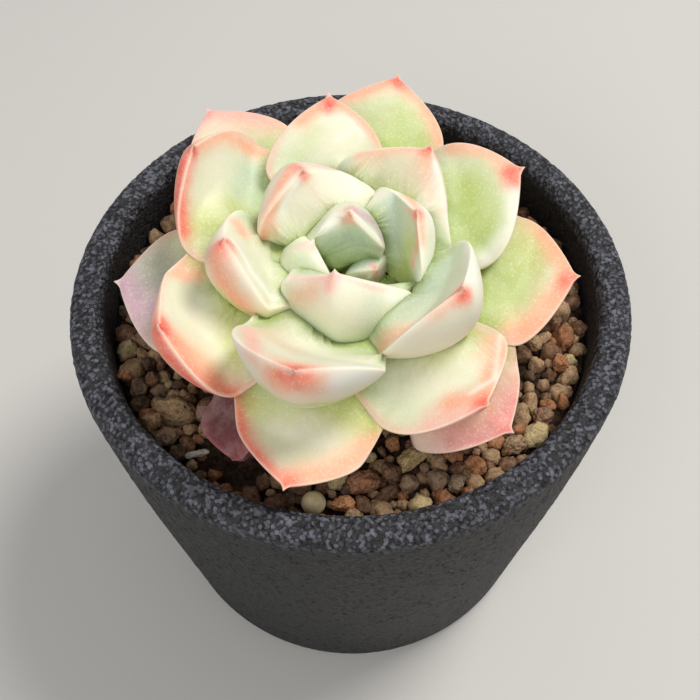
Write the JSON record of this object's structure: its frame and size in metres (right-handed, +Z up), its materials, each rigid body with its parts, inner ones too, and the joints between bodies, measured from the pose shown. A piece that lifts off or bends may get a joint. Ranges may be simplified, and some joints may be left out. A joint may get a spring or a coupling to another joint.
{
  "type": "potted echeveria",
  "caption": "Fleshy succulent rosette with pink-tipped leaves, growing in gritty clay soil in a rough matt black tapered pot.",
  "frame": {"origin": "centre of the pot's underside", "axes": "+Z up along the pot's axis; -Y is the front, the side the picture looks from"},
  "size_m": [0.09, 0.09, 0.1011],
  "materials": {
    "pot": "matt black, rough and pitted",
    "leaf_heart": "waxy with a powdery bloom, blue green",
    "leaf_inner": "waxy with a powdery bloom, pale green to cream, pink rim",
    "leaf_middle": "waxy with a powdery bloom, pale green, cream and peach, coral tip",
    "leaf_open": "waxy with a powdery bloom, green to cream, peach and coral rim",
    "leaf_under": "waxy, dull green",
    "leaf_maroon": "matt dark maroon",
    "leaf_withered": "dry, wrinkled, brown",
    "stem": "dull, slightly rough",
    "soil": "rough baked-clay grains",
    "grain_brown": "rough, matt",
    "grain_tan": "rough, matt",
    "grain_orange": "rough, matt",
    "grain_grey": "rough, matt",
    "pellet": "smooth, satin",
    "dead_root": "dry, matt",
    "net": "matt"
  },
  "bodies": {
    "root": {"dead_root": "dead_root", "drain_net": "net", "feed_pellet": "pellet", "grain_beige_left": "grain_tan", "grain_brown_right": "grain_brown", "grain_grey": "grain_grey", "grain_large_brown": "grain_brown", "grain_long_tan": "grain_tan", "grain_orange": "grain_orange", "grain_tan_left": "grain_tan", "grain_tan_right": "grain_tan", "leaf_heart_1": "leaf_heart", "leaf_heart_2": "leaf_heart", "leaf_inner_1": "leaf_inner", "leaf_inner_2": "leaf_inner", "leaf_inner_3": "leaf_inner", "leaf_inner_4": "leaf_inner", "leaf_low_1": "leaf_open", "leaf_low_2": "leaf_open", "leaf_low_3": "leaf_open", "leaf_low_4": "leaf_open", "leaf_low_5": "leaf_open", "leaf_low_6": "leaf_open", "leaf_maroon": "leaf_maroon", "leaf_middle_1": "leaf_middle", "leaf_middle_2": "leaf_middle", "leaf_middle_3": "leaf_middle", "leaf_middle_4": "leaf_middle", "leaf_middle_5": "leaf_middle", "leaf_outer_1": "leaf_open", "leaf_outer_2": "leaf_open", "leaf_outer_3": "leaf_open", "leaf_outer_4": "leaf_open", "leaf_outer_5": "leaf_open", "leaf_under_1": "leaf_under", "leaf_under_2": "leaf_under", "leaf_under_3": "leaf_under", "leaf_withered": "leaf_withered", "pot": "pot", "soil": "soil", "stem_with_roots": "stem"}
  },
  "joints": []
}
